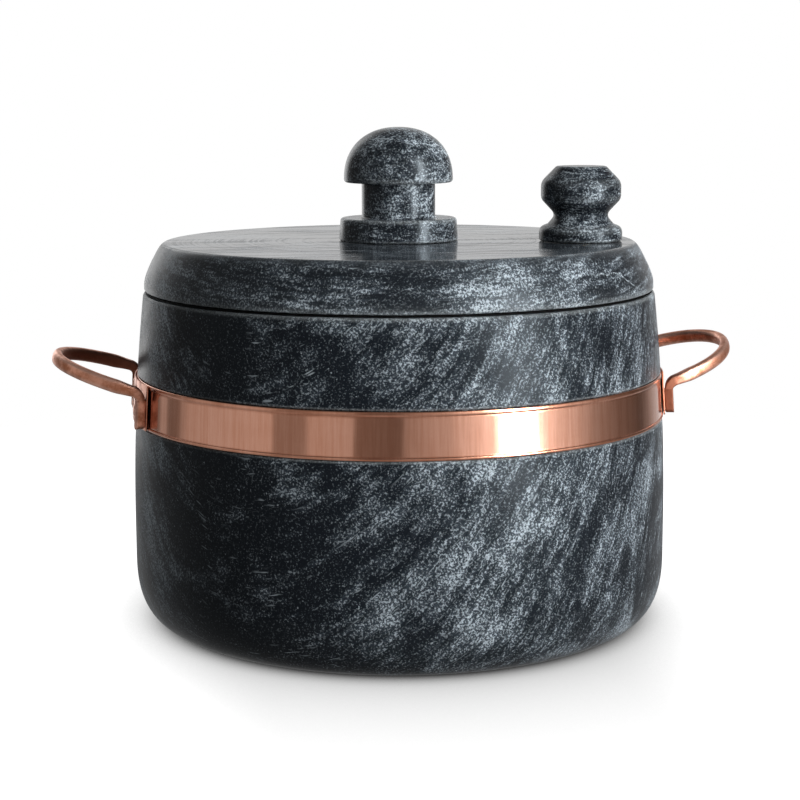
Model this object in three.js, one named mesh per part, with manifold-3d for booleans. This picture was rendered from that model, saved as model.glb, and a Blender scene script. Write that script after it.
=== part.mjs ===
// Soapstone pressure cooker: a turned stone pot and lid, a stone regulator weight on a brass
// steam vent, and a copper strap that carries two forged copper handles.
// Millimetres, +Z up. The origin is on the pot's axis, on the surface it stands on.
// +X runs out through the right handle and -Y faces the front.

import * as THREE from 'three';
import { mergeVertices } from 'three/addons/utils/BufferGeometryUtils.js';
import Module from 'manifold-3d';

// Clearances
const seatGap = 0.3;
const cutOverrun = 2;

// Pot
const potRadius = 125;
const potWidestHeight = 46;
const rimRadius = 118.8;
const rimHeight = 153;
const footCornerWidth = 18.5;
const footCornerHeight = 30;
const footCornerFullness = 2.5;
const potWall = 15;
const potFloor = 18;
const insideCornerRadius = 24;
const insideShoulderDepth = 12;
const rimRound = 1.3;

// Lid
const lidSetback = 0.5;
const lidThickness = 21.4;
const lidTopInset = 10.1;
const lidSkirtHeight = 2.6;
const lidSkirtBow = 4.2;
const lidBrowInset = 6.1;
const lidBrowDrop = 3.8;
const lidHemRound = 0.8;
const spigotDepth = 8;
const spigotClearance = 1.2;
const spigotChamfer = 2;

// Gasket between rim and lid
const seamHeight = 1.2;
const gasketSetback = 0.9;
const gasketInset = 0.6;

// Knob
const capRadius = 25.3;
const capHeight = 25.4;
const capFullness = 2.22;
const capHemRound = 1.5;
const neckRadius = 17.1;
const neckHeight = 16.3;
const neckFillet = 1;
const flangeTopRadius = 27.1;
const flangeFootRadius = 27.7;
const flangeHeight = 10.3;
const flangeRound = 1.4;
const flangeFootChamfer = 0.5;

// Knob fastening: threaded insert in the knob, bolt, washer and seal under the lid
const boltRadius = 4;
const boltGrip = 16;
const boltHeadHeight = 5.5;
const boltHeadFlats = 13;
const boltBoreClearance = 0.4;
const insertRadius = 7;
const insertLength = 18;
const washerRadius = 13;
const washerThickness = 1.6;
const sealRadius = 12;
const sealThickness = 2;

// Regulator weight, from its foot up
const ventInset = 23.7;
const ventAzimuthDegrees = -14.3;
const weightFootRadius = 19.2;
const weightFootChamfer = 0.6;
const weightFootHeight = 6.2;
const weightFootRound = 2.6;
const weightShoulderRadius = 15.3;
const weightShoulderHeight = 7.6;
const weightNeckRadius = 11.6;
const weightNeckHeight = 11.8;
const weightNeckRound = 2.9;
const weightBellyRadius = 18.45;
const weightBellyHeight = 19.1;
const weightBellyRound = 1.9;
const weightBrowHeight = 26.9;
const weightBrowRound = 2.4;
const weightTopRadius = 11.4;
const weightTopRound = 0.7;
const weightHeight = 34.1;
const weightHollowRadius = 9.5;
const weightHollowDepth = 9;

// Steam vent and the needle that closes it
const ventBoreRadius = 3.3;
const ventTubeRadius = 5.5;
const ventCollarRadius = 8;
const ventCollarHeight = 1.6;
const ventNoseHeight = 5;
const ventTail = 7;
const ventNutFlats = 17;
const ventNutHeight = 5;
const needleRadius = 4;
const needleSocketDepth = 12;
const needleTipRadius = 1;
const needleReach = 2.6;
const needleShoulderRadius = 4.6;
const needleShoulderHeight = 1.2;

// Copper strap
const strapBottom = 94.9;
const strapWidth = 20.3;
const strapThickness = 0.8;
const strapSeatDepth = 1.2;
const strapJointGap = 0.6;
const topHemHeight = 2.1;
const bottomHemHeight = 1.5;
const hemProud = 0.5;

// Saddle plates, as tall as the strap, that lie on its hems and cover its joints
const saddleHalfAngleDegrees = 16;
const saddleThickness = 0.6;

// Rivets through saddle and strap
const rivetShankRadius = 1.6;
const rivetHeadRadius = 2.6;
const rivetHeadHeight = 0.6;
const rivetAngleDegrees = 5;
const rivetSpread = 9;

// Forged handles
const legAngleDegrees = 14.9;
const legThickness = 3.9;
const barWidth = 4.5;
const barHeight = 6.2;
const barRootHeight = 4.8;
const barTaperShare = 0.08;
const barFullness = 2.7;
const handleProjection = 34.8;
const handleRootDrop = 1.1;
const handleRise = 10.6;
const bendRadius = 4.6;
const legFootLift = 0.8;
const legFootRound = 1.6;
const legFootThinShare = 0.75;
const rightHandleLeanDegrees = 5.5;
const leftHandleLeanDegrees = -2.2;

// Facet counts
const potFacets = 56;
const knobFacets = 36;
const weightFacets = 28;
const smallFacets = 16;
const rivetFacets = 10;
const hexagon = 6;
const barFacets = 10;
const loopSteps = 16;
const bendSteps = 4;
const footSteps = 3;

// Levels and radii that follow from the sizes above
const degree = Math.PI / 180;
const mouthRadius = rimRadius - potWall;
const lidFoot = rimHeight + seamHeight;
const lidTop = lidFoot + lidThickness;
const lidRadius = rimRadius - lidSetback;
const lidBrowRadius = lidRadius - lidBrowInset;
const lidTopRadius = lidRadius - lidTopInset;
const spigotRadius = mouthRadius - spigotClearance;
const spigotFoot = lidFoot - spigotDepth;
const strapTop = strapBottom + strapWidth;
const handleRootHeight = strapTop - handleRootDrop;
const handleTipHeight = handleRootHeight + handleRise;
const ventOffset = lidTopRadius - ventInset;
const ventX = ventOffset * Math.cos(ventAzimuthDegrees * degree);
const ventY = ventOffset * Math.sin(ventAzimuthDegrees * degree);

const soapstone = { color: 0x2c3034, roughness: 0.45, metalness: 0 };
const copper = { color: 0xc07a5c, roughness: 0.3, metalness: 1 };
const brass = { color: 0xb99748, roughness: 0.35, metalness: 1 };
const steel = { color: 0xa9adb0, roughness: 0.35, metalness: 1 };
const silicone = { color: 0x101113, roughness: 0.8, metalness: 0 };

const wasm = await Module();
wasm.setup();

const part = new THREE.Group();

// Helpers

function addPiece(name, geometry, finish) {
  geometry.computeVertexNormals();
  const mesh = new THREE.Mesh(geometry, new THREE.MeshStandardMaterial(finish));
  mesh.name = name;
  part.add(mesh);
  return mesh;
}

// A profile of [radius, height] pairs turned round the Z axis.
function turned(profile, facets) {
  const points = profile.map(([radius, height]) => new THREE.Vector2(radius, height));
  return new THREE.LatheGeometry(points, facets).rotateX(Math.PI / 2);
}

// A ring's profile, closed on itself.
function turnedRing(profile, facets) {
  return turned([...profile, profile[0]], facets);
}

function tube(innerRadius, outerRadius, foot, top, facets) {
  const profile = [
    [innerRadius, foot],
    [outerRadius, foot],
    [outerRadius, top],
    [innerRadius, top],
  ];
  return turnedRing(profile, facets);
}

function rod(radius, foot, top, facets) {
  return turned([[0, foot], [radius, foot], [radius, top], [0, top]], facets);
}

function solidOf(geometry) {
  const bare = geometry.clone();
  bare.deleteAttribute('normal');
  bare.deleteAttribute('uv');
  const merged = mergeVertices(bare);
  const mesh = new wasm.Mesh({
    numProp: 3,
    vertProperties: Float32Array.from(merged.attributes.position.array),
    triVerts: Uint32Array.from(merged.index.array),
  });
  mesh.merge();
  return new wasm.Manifold(mesh);
}

function geometryOf(solid) {
  const mesh = solid.getMesh();
  const geometry = new THREE.BufferGeometry();
  geometry.setAttribute('position', new THREE.BufferAttribute(mesh.vertProperties, 3));
  geometry.setIndex(new THREE.BufferAttribute(mesh.triVerts, 1));
  return geometry;
}

function cut(geometry, ...cutters) {
  let solid = solidOf(geometry);
  for (const cutter of cutters) {
    solid = solid.subtract(solidOf(cutter));
  }
  return geometryOf(solid);
}

function joined(...geometries) {
  const [first, ...others] = geometries.map(solidOf);
  return geometryOf(others.reduce((sum, other) => sum.add(other), first));
}

function kept(geometry, keeper) {
  return geometryOf(solidOf(geometry).intersect(solidOf(keeper)));
}

// Points of an arc from one angle to another, ends included.
function arc(centreRadius, centreHeight, radius, fromDegrees, toDegrees, steps) {
  const points = [];
  for (let step = 0; step <= steps; step += 1) {
    const angle = (fromDegrees + ((toDegrees - fromDegrees) * step) / steps) * degree;
    points.push([centreRadius + radius * Math.cos(angle), centreHeight + radius * Math.sin(angle)]);
  }
  return points;
}

// A quarter of a superellipse: from its foot or top, on the inside, out to its side.
function bulge(innerRadius, centreHeight, width, height, fullness, steps) {
  const points = [];
  for (let step = 0; step <= steps; step += 1) {
    const angle = (step / steps) * (Math.PI / 2);
    const out = Math.sin(angle) ** (2 / fullness);
    const along = Math.cos(angle) ** (2 / fullness);
    points.push([innerRadius + width * out, centreHeight + height * along]);
  }
  return points;
}

// Points of a curve between two ends, drawn towards a corner.
function drawn(from, corner, to, steps) {
  const ends = [from, corner, to].map(([radius, height]) => new THREE.Vector2(radius, height));
  const curve = new THREE.QuadraticBezierCurve(...ends);
  return curve.getPoints(steps).map((point) => [point.x, point.y]);
}

// A corner between two neighbours, rounded off over the same reach on both sides of it.
function rounded(before, corner, after, reach, steps) {
  const towards = ([radius, height]) => {
    const share = reach / Math.hypot(radius - corner[0], height - corner[1]);
    return [corner[0] + (radius - corner[0]) * share, corner[1] + (height - corner[1]) * share];
  };
  return drawn(towards(before), corner, towards(after), steps);
}

function hexPrism(flats, foot, height) {
  return rod(flats / Math.sqrt(3), foot, foot + height, hexagon);
}

// Pot

function sideRadius(height) {
  const share = Math.max(0, (height - potWidestHeight) / (rimHeight - potWidestHeight));
  return potRadius - (potRadius - rimRadius) * share ** 2;
}

function evenly(from, to, steps, pointAt) {
  const points = [];
  for (let step = 0; step <= steps; step += 1) {
    points.push(pointAt(from + ((to - from) * step) / steps));
  }
  return points;
}

// The stone's surface under the strap, a plain cone in a shallow turned seat.
function strapSeatRadius(height) {
  const share = (height - strapBottom) / strapWidth;
  const side = sideRadius(strapBottom) + (sideRadius(strapTop) - sideRadius(strapBottom)) * share;
  return side - strapSeatDepth;
}

function potProfile() {
  const seatLow = strapBottom - seatGap;
  const seatHigh = strapTop + seatGap;
  const cavityRadius = potRadius - potWall;
  const cornerCentre = potFloor + insideCornerRadius;
  const shoulder = rimHeight - insideShoulderDepth;
  return [
    [0, 0],
    ...bulge(potRadius - footCornerWidth, footCornerHeight, footCornerWidth, -footCornerHeight,
      footCornerFullness, 7),
    ...evenly(potWidestHeight, seatLow, 2, (height) => [sideRadius(height), height]),
    [strapSeatRadius(seatLow), seatLow],
    [strapSeatRadius(seatHigh), seatHigh],
    ...evenly(seatHigh, rimHeight - rimRound, 2, (height) => [sideRadius(height), height]),
    ...arc(rimRadius - rimRound, rimHeight - rimRound, rimRound, 30, 90, 2),
    ...arc(mouthRadius + rimRound, rimHeight - rimRound, rimRound, 90, 180, 2),
    ...evenly(shoulder, cornerCentre, 2, (height) => [sideRadius(height) - potWall, height]),
    ...arc(cavityRadius - insideCornerRadius, cornerCentre, insideCornerRadius, -22.5, -90, 3),
    [0, potFloor],
  ];
}

addPiece('pot_body', turned(potProfile(), potFacets), soapstone);

// Lid, gasket and vent hole

function lidProfile() {
  const boreRadius = boltRadius + boltBoreClearance;
  const skirtTop = lidFoot + lidSkirtHeight;
  const brow = [lidBrowRadius, lidTop - lidBrowDrop];
  const browCorner = lidBrowRadius - lidBrowDrop * lidBrowLeanShare();
  return [
    [boreRadius, spigotFoot],
    [spigotRadius - spigotChamfer, spigotFoot],
    [spigotRadius, spigotFoot + spigotChamfer],
    [spigotRadius, lidFoot],
    [lidRadius - lidHemRound, lidFoot],
    [lidRadius, lidFoot + lidHemRound],
    ...drawn([lidRadius, skirtTop], [lidRadius, skirtTop + lidSkirtBow], brow, 4),
    ...drawn(brow, [browCorner, lidTop], [lidTopRadius, lidTop], 3).slice(1),
    [boreRadius, lidTop],
  ];
}

// How far the lid's side leans in for each unit of height, where it meets the brow.
function lidBrowLeanShare() {
  const cornerHeight = lidFoot + lidSkirtHeight + lidSkirtBow;
  return lidBrowInset / (lidTop - lidBrowDrop - cornerHeight);
}

function atVent(geometry) {
  return geometry.translate(ventX, ventY, 0);
}

const ventHole = atVent(
  rod(ventTubeRadius + seatGap, spigotFoot - cutOverrun, lidTop + cutOverrun, smallFacets),
);
addPiece('lid', cut(turnedRing(lidProfile(), potFacets), ventHole), soapstone);

const gasketInner = mouthRadius + gasketInset;
const gasketOuter = rimRadius - gasketSetback;
addPiece(
  'lid_gasket',
  tube(gasketInner, gasketOuter, rimHeight + seatGap, lidFoot - seatGap, potFacets),
  silicone,
);

// Knob and what holds it

const knobFoot = lidTop + seatGap;

function knobProfile() {
  const flangeTop = knobFoot + flangeHeight;
  const capFoot = flangeTop + neckHeight;
  const capEquator = capFoot + capHemRound;
  const socketTop = knobFoot + insertLength + seatGap;
  const socketRadius = insertRadius + seatGap;
  return [
    [0, socketTop],
    [socketRadius, socketTop],
    [socketRadius, knobFoot],
    [flangeFootRadius - flangeFootChamfer, knobFoot],
    [flangeFootRadius, knobFoot + flangeFootChamfer],
    ...arc(flangeTopRadius - flangeRound, flangeTop - flangeRound, flangeRound, 0, 90, 2),
    ...arc(neckRadius + neckFillet, flangeTop + neckFillet, neckFillet, 270, 180, 2),
    ...arc(neckRadius + neckFillet, capFoot - neckFillet, neckFillet, 180, 90, 2),
    ...arc(capRadius - capHemRound, capEquator, capHemRound, -90, -30, 2),
    ...bulge(0, capEquator, capRadius, capHeight - capHemRound, capFullness, 9).reverse(),
  ];
}

addPiece('lid_knob', turned(knobProfile(), knobFacets), soapstone);
addPiece(
  'knob_insert',
  tube(boltRadius + seatGap, insertRadius, knobFoot, knobFoot + insertLength, smallFacets),
  brass,
);

const sealTop = spigotFoot - seatGap;
const washerTop = sealTop - sealThickness - seatGap;
const headTop = washerTop - washerThickness - seatGap;
const washerBore = boltRadius + boltBoreClearance;
addPiece(
  'bolt_seal',
  tube(washerBore, sealRadius, sealTop - sealThickness, sealTop, smallFacets),
  silicone,
);
addPiece(
  'knob_washer',
  tube(washerBore, washerRadius, washerTop - washerThickness, washerTop, smallFacets),
  steel,
);
addPiece(
  'knob_bolt',
  joined(
    rod(boltRadius, headTop - boltHeadHeight / 2, knobFoot + boltGrip, smallFacets),
    hexPrism(boltHeadFlats, headTop - boltHeadHeight, boltHeadHeight),
  ),
  steel,
);

// Steam vent in the lid

function ventTubeProfile() {
  const collarFoot = lidTop + seatGap;
  return [
    [ventBoreRadius, spigotFoot - ventTail],
    [ventTubeRadius, spigotFoot - ventTail],
    [ventTubeRadius, collarFoot],
    [ventCollarRadius, collarFoot],
    [ventCollarRadius, collarFoot + ventCollarHeight],
    [ventTubeRadius, collarFoot + ventCollarHeight],
    [ventTubeRadius, lidTop + ventNoseHeight],
    [ventBoreRadius, lidTop + ventNoseHeight],
  ];
}

addPiece('vent_tube', atVent(turnedRing(ventTubeProfile(), smallFacets)), brass);

const nutTop = spigotFoot - seatGap;
addPiece(
  'vent_nut',
  atVent(
    cut(
      hexPrism(ventNutFlats, nutTop - ventNutHeight, ventNutHeight),
      rod(ventTubeRadius + seatGap, nutTop - ventNutHeight - cutOverrun, nutTop + cutOverrun, smallFacets),
    ),
  ),
  brass,
);

// Regulator weight with its needle

function weightProfile() {
  const foot = lidTop + seatGap;
  const hollowTop = foot + weightHollowDepth;
  const socketTop = hollowTop + needleSocketDepth;
  const socketRadius = needleRadius + seatGap;
  const up = (points) => points.map(([radius, height]) => [radius, foot + height]);
  const footSide = [weightFootRadius, 0];
  const footCorner = [weightFootRadius, weightFootHeight];
  const shoulder = [weightShoulderRadius, weightShoulderHeight];
  const neck = [weightNeckRadius, weightNeckHeight];
  const belly = [weightBellyRadius, weightBellyHeight];
  const brow = [weightBellyRadius, weightBrowHeight];
  const topEdge = [weightTopRadius, weightHeight];
  const top = [0, weightHeight];
  return [
    [0, socketTop],
    [socketRadius, socketTop],
    [socketRadius, hollowTop],
    [weightHollowRadius, hollowTop],
    [weightHollowRadius, foot],
    [weightFootRadius - weightFootChamfer, foot],
    [weightFootRadius, foot + weightFootChamfer],
    ...up(rounded(footSide, footCorner, shoulder, weightFootRound, 3)),
    ...up([shoulder]),
    ...up(rounded(shoulder, neck, belly, weightNeckRound, 4)),
    ...up(rounded(neck, belly, brow, weightBellyRound, 3)),
    ...up(rounded(belly, brow, topEdge, weightBrowRound, 4)),
    ...up(rounded(brow, topEdge, top, weightTopRound, 2)),
    ...up([top]),
  ];
}

addPiece('regulator_weight', atVent(turned(weightProfile(), weightFacets)), soapstone);

function needleProfile() {
  const hollowTop = lidTop + seatGap + weightHollowDepth;
  const noseTop = lidTop + ventNoseHeight;
  const tip = noseTop - needleReach;
  const mouthHeight = noseTop + seatGap;
  return [
    [0, tip],
    [needleTipRadius, tip],
    [ventBoreRadius - seatGap, mouthHeight],
    [needleRadius, mouthHeight + seatGap],
    [needleRadius, hollowTop - needleShoulderHeight - seatGap],
    [needleShoulderRadius, hollowTop - needleShoulderHeight - seatGap],
    [needleShoulderRadius, hollowTop - seatGap],
    [needleRadius, hollowTop - seatGap],
    [needleRadius, hollowTop + needleSocketDepth - seatGap],
    [0, hollowTop + needleSocketDepth - seatGap],
  ];
}

addPiece('regulator_needle', atVent(turned(needleProfile(), smallFacets)), brass);

// Copper strap in two halves

const strapInner = (height) => strapSeatRadius(height) + seatGap;
const strapFace = (height) => strapInner(height) + strapThickness;
const saddleInner = (height) => strapFace(height) + hemProud + seatGap;
const saddleFace = (height) => saddleInner(height) + saddleThickness;

// Points of a hem: the sheet's edge, folded back over itself into a low round bead.
function hem(low, high) {
  const middle = (low + high) / 2;
  return [
    [strapFace(low), low],
    ...evenly(-1, 1, 4, (turn) => {
      const height = middle + ((high - low) / 2) * Math.sin((turn * Math.PI) / 2);
      return [strapFace(height) + hemProud * Math.cos((turn * Math.PI) / 2), height];
    }).slice(1, -1),
    [strapFace(high), high],
  ];
}

function strapProfile() {
  return [
    [strapInner(strapBottom), strapBottom],
    ...hem(strapBottom, strapBottom + bottomHemHeight),
    ...hem(strapTop - topHemHeight, strapTop),
    [strapInner(strapTop), strapTop],
  ];
}

// A box that holds one side of the joint plane, with half of the joint's gap left open.
function strapSide(sign) {
  const reach = Math.max(saddleFace(strapBottom), saddleFace(strapTop)) + cutOverrun;
  const depth = reach - strapJointGap / 2;
  const box = new THREE.BoxGeometry(2 * reach, depth, strapWidth + 2 * cutOverrun);
  return box.translate(0, (sign * (reach + strapJointGap / 2)) / 2, strapBottom + strapWidth / 2);
}

// A wedge from the axis outwards, open by the saddle's angle, turned to face one handle.
function saddleWedge() {
  const reach = 2 * Math.max(saddleFace(strapBottom), saddleFace(strapTop));
  const half = saddleHalfAngleDegrees * degree;
  const outline = new THREE.Shape();
  outline.moveTo(0, 0);
  outline.lineTo(reach * Math.cos(half), -reach * Math.sin(half));
  outline.lineTo(reach * Math.cos(half), reach * Math.sin(half));
  outline.closePath();
  const depth = strapWidth + 2 * cutOverrun;
  const wedge = new THREE.ExtrudeGeometry(outline, { depth, bevelEnabled: false });
  return wedge.translate(0, 0, strapBottom - cutOverrun);
}

function saddleProfile() {
  return [
    [saddleInner(strapBottom), strapBottom],
    [saddleFace(strapBottom), strapBottom],
    [saddleFace(strapTop), strapTop],
    [saddleInner(strapTop), strapTop],
  ];
}

// The places of the rivets: the side they are on, their angle from the handle, and their height.
const rivets = [];
for (const side of ['right', 'left']) {
  for (const [place, across] of [['front', -1], ['rear', 1]]) {
    for (const [level, up] of [['lower', -1], ['upper', 1]]) {
      const facing = side === 'right' ? 0 : Math.PI;
      const turn = side === 'right' ? across : -across;
      rivets.push({
        name: `rivet_${side}_${place}_${level}`,
        azimuth: facing + turn * rivetAngleDegrees * degree,
        height: strapBottom + strapWidth / 2 + (up * rivetSpread) / 2,
      });
    }
  }
}

// How far the strap's outward normal tilts up, because its seat is a cone.
const seatLean = Math.atan2(strapSeatRadius(strapBottom) - strapSeatRadius(strapTop), strapWidth);

// A shape made along +Z from the origin, moved to point out of the strap's inner face at a rivet's place.
function atRivet(geometry, rivet) {
  const laid = geometry.rotateY(Math.PI / 2 - seatLean);
  return laid.translate(strapInner(rivet.height), 0, rivet.height).rotateZ(rivet.azimuth);
}

function rivetProfile() {
  const stack = saddleFace(strapBottom) - strapInner(strapBottom);
  const seat = stack * Math.cos(seatLean) + seatGap;
  return [
    [0, 0],
    [rivetShankRadius, 0],
    [rivetShankRadius, seat],
    [rivetHeadRadius, seat],
    ...bulge(0, seat, rivetHeadRadius, rivetHeadHeight, 2, 3).reverse().slice(1),
  ];
}

function rivetHoles() {
  const reach = saddleFace(strapBottom) - strapInner(strapBottom) + cutOverrun;
  const hole = () => rod(rivetShankRadius + seatGap, -cutOverrun, reach, rivetFacets);
  return rivets.map((rivet) => atRivet(hole(), rivet));
}

const strapRing = turnedRing(strapProfile(), potFacets);
addPiece('strap_front', cut(kept(strapRing, strapSide(-1)), ...rivetHoles()), copper);
addPiece('strap_rear', cut(kept(strapRing, strapSide(1)), ...rivetHoles()), copper);

const saddleRing = turnedRing(saddleProfile(), potFacets);
addPiece('saddle_right', cut(kept(saddleRing, saddleWedge()), ...rivetHoles()), copper);
addPiece('saddle_left', cut(kept(saddleRing, saddleWedge().rotateZ(Math.PI)), ...rivetHoles()), copper);

for (const rivet of rivets) {
  addPiece(rivet.name, atRivet(turned(rivetProfile(), rivetFacets), rivet), copper);
}

// Forged handles: one bar, lofted from flattened leg to deep loop and back to the other leg

// A body through rings of equally many points, closed by flat ends.
function loft(rings) {
  const count = rings[0].length;
  const positions = rings.flat().flatMap((point) => [point.x, point.y, point.z]);
  const faces = [];
  for (let ring = 0; ring < rings.length - 1; ring += 1) {
    for (let corner = 0; corner < count; corner += 1) {
      const next = (corner + 1) % count;
      const here = ring * count;
      const there = here + count;
      faces.push(here + corner, here + next, there + next);
      faces.push(here + corner, there + next, there + corner);
    }
  }
  const last = (rings.length - 1) * count;
  for (let corner = 1; corner < count - 1; corner += 1) {
    faces.push(0, corner + 1, corner);
    faces.push(last, last + corner, last + corner + 1);
  }
  const geometry = new THREE.BufferGeometry();
  geometry.setAttribute('position', new THREE.Float32BufferAttribute(positions, 3));
  geometry.setIndex(faces);
  return geometry;
}

// The bar's section at one station: wide along side, deep along rise.
function barRing({ centre, side, rise, depth, width }) {
  const ring = [];
  for (let corner = 0; corner < barFacets; corner += 1) {
    const angle = (2 * Math.PI * (corner + 1 / 2)) / barFacets;
    const across = Math.sign(Math.cos(angle)) * Math.abs(Math.cos(angle)) ** (2 / barFullness);
    const along = Math.sign(Math.sin(angle)) * Math.abs(Math.sin(angle)) ** (2 / barFullness);
    const point = centre.clone();
    point.addScaledVector(side, (across * width) / 2);
    point.addScaledVector(rise, (along * depth) / 2);
    ring.push(point);
  }
  return ring;
}

// The stations of one end, from the foot of its leg to where the loop starts.
function legStations(end, leanDegrees, slope) {
  const swing = end * legAngleDegrees * degree;
  const legAt = (height, thickness) => {
    const reach = saddleFace(height) + seatGap + thickness / 2;
    return new THREE.Vector3(reach * Math.cos(swing), reach * Math.sin(swing), height);
  };
  const rootHeight = handleRootHeight + end * Math.sin(leanDegrees * degree) * halfSpan();
  const bendFoot = rootHeight - bendRadius * Math.cos(slope);
  const foot = strapBottom + legFootLift;
  const side = new THREE.Vector3(-Math.sin(swing), Math.cos(swing), 0);
  const inward = new THREE.Vector3(-Math.cos(swing), -Math.sin(swing), 0);
  const stations = [];
  for (let step = 1; step <= footSteps; step += 1) {
    const angle = (step / footSteps) * (Math.PI / 2);
    const fullShare = Math.sin(angle);
    const height = foot + legFootRound * (1 - Math.cos(angle));
    const depth = legThickness * (legFootThinShare + (1 - legFootThinShare) * fullShare);
    stations.push({ side, rise: inward, depth, width: barWidth * fullShare, centre: legAt(height, depth) });
  }
  const legTop = legAt(bendFoot, legThickness);
  stations.push({ side, rise: inward, depth: legThickness, width: barWidth, centre: legTop });
  const bendCentre = legTop.clone().add(new THREE.Vector3(bendRadius, 0, 0));
  const fullTurn = Math.PI / 2 - slope;
  for (let step = 1; step <= bendSteps; step += 1) {
    const share = step / bendSteps;
    const turn = fullTurn * share;
    const outward = new THREE.Vector3(-Math.cos(turn), 0, Math.sin(turn));
    const left = swing * (1 - share);
    stations.push({
      centre: bendCentre.clone().addScaledVector(outward, bendRadius),
      side: new THREE.Vector3(-Math.sin(left) * Math.cos(turn), Math.cos(left), 0).normalize(),
      rise: outward,
      depth: legThickness + (barRootHeight - legThickness) * easedShare(share),
      width: barWidth,
    });
  }
  return stations;
}

function easedShare(share) {
  return share * share * (3 - 2 * share);
}

// The bar's depth at a share of the loop, full but for a taper to both roots.
function loopDepth(share) {
  const grown = Math.min(1, Math.min(share, 1 - share) / barTaperShare);
  return barRootHeight + (barHeight - barRootHeight) * easedShare(grown);
}

function halfSpan() {
  const reach = saddleFace(strapTop) + seatGap + legThickness / 2;
  return reach * Math.sin(legAngleDegrees * degree);
}

function handleStations(leanDegrees) {
  const slope = Math.atan2(handleTipHeight - handleRootHeight, halfSpan());
  const front = legStations(-1, leanDegrees, slope);
  const rear = legStations(1, leanDegrees, slope);
  const start = front.at(-1).centre;
  const end = rear.at(-1).centre;
  const root = start.clone().add(end).divideScalar(2);
  const across = end.clone().sub(start).divideScalar(2);
  const tip = new THREE.Vector3(saddleFace(strapTop) + handleProjection, 0, handleTipHeight);
  const out = tip.sub(root);
  const normal = out.clone().cross(across).normalize();
  const loop = [];
  for (let step = 1; step < loopSteps; step += 1) {
    const angle = Math.PI * (step / loopSteps - 1 / 2);
    const heading = out.clone().multiplyScalar(-Math.sin(angle)).addScaledVector(across, Math.cos(angle));
    loop.push({
      centre: root.clone().addScaledVector(out, Math.cos(angle)).addScaledVector(across, Math.sin(angle)),
      side: normal.clone().cross(heading).normalize(),
      rise: normal,
      depth: loopDepth(step / loopSteps),
      width: barWidth,
    });
  }
  return [...front, ...loop, ...rear.reverse().map(turnedAbout)];
}

// The rear leg runs the other way along the bar, so its section is turned to match.
function turnedAbout(station) {
  return { ...station, side: station.side.clone().negate() };
}

function handleGeometry(leanDegrees) {
  return loft(handleStations(leanDegrees).map(barRing));
}

addPiece('handle_right', handleGeometry(rightHandleLeanDegrees), copper);
addPiece('handle_left', handleGeometry(leftHandleLeanDegrees).rotateZ(Math.PI), copper);

export default part;
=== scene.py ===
# The looks of the soapstone pressure cooker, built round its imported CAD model.
# Sizes are in millimetres unless a name says otherwise, and meshes are made in metres.

import math

import bmesh
import bpy
from mathutils import Matrix, Vector, noise


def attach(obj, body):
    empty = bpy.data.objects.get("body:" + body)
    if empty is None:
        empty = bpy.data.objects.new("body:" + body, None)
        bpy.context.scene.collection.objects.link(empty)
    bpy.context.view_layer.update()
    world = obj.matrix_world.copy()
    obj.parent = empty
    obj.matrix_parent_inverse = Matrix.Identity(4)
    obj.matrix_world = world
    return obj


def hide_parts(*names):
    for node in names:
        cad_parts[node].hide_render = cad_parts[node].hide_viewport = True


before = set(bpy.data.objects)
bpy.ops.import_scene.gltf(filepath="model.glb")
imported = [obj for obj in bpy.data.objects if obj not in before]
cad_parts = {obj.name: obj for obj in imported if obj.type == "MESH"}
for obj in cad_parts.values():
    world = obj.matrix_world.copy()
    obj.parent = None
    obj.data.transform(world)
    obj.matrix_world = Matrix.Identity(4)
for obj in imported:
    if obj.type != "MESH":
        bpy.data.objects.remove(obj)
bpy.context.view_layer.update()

MM = 0.001

# Camera, as the photograph was taken
CAMERA_AZIMUTH = math.radians(9.3)
CAMERA_HEADING = math.radians(9.328)
CAMERA_PITCH = math.radians(9.468)
CAMERA_ROLL = math.radians(-0.18)
CAMERA_DISTANCE = 849
CAMERA_HEIGHT = 241.4
CAMERA_LENS = 81.7
SENSOR_WIDTH = 36

# Pot
SEAT_GAP = 0.3
POT_RADIUS = 125
POT_WIDEST = 46
RIM_RADIUS = 118.8
RIM_HEIGHT = 153
FOOT_CORNER = (18.5, 30)
FOOT_FULLNESS = 2.5
POT_WALL = 15
POT_FLOOR = 18
INSIDE_CORNER = 24
INSIDE_CORNER_START = -6
MOUTH_DEPTH = 12
RIM_ROUND = 1.3
RIM_ROUND_START = 20
SEAT_DEPTH = 1.2
SEAT_EDGE = 0.5
FOOT_RING_RADIUS = 86
FOOT_RING_RISE = 0.8
FOOT_RING_SLOPE = 1

# Lid
LID_FOOT = 154.2
LID_TOP = 175.6
LID_RADIUS = 118.3
LID_BROW = (112.2, 171.8)
LID_TOP_RADIUS = 108.2
LID_SKIRT = 2.6
LID_SKIRT_BOW = 4.2
LID_HEM = 0.8
SPIGOT_RADIUS = 102.6
SPIGOT_FOOT = 146.2
SPIGOT_CHAMFER = 2
BOLT_BORE = 4.4

# Gasket
GASKET_RADII = (104.4, 117.9)
GASKET_ROUND = 0.25

# Knob
KNOB_FOOT = 175.9
CAP_RADIUS = 25.3
CAP_HEIGHT = 25.4
CAP_FULLNESS = 2.22
CAP_HEM = 1.5
CAP_HEM_END = -8
NECK_RADIUS = 17.1
NECK_HEIGHT = 16.3
NECK_FILLET = 1
FLANGE_RADII = (27.7, 27.1)
FLANGE_HEIGHT = 10.3
FLANGE_ROUND = 1.4
FLANGE_FOOT_CHAMFER = 0.5
SOCKET = (7.3, 18.3)

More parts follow.
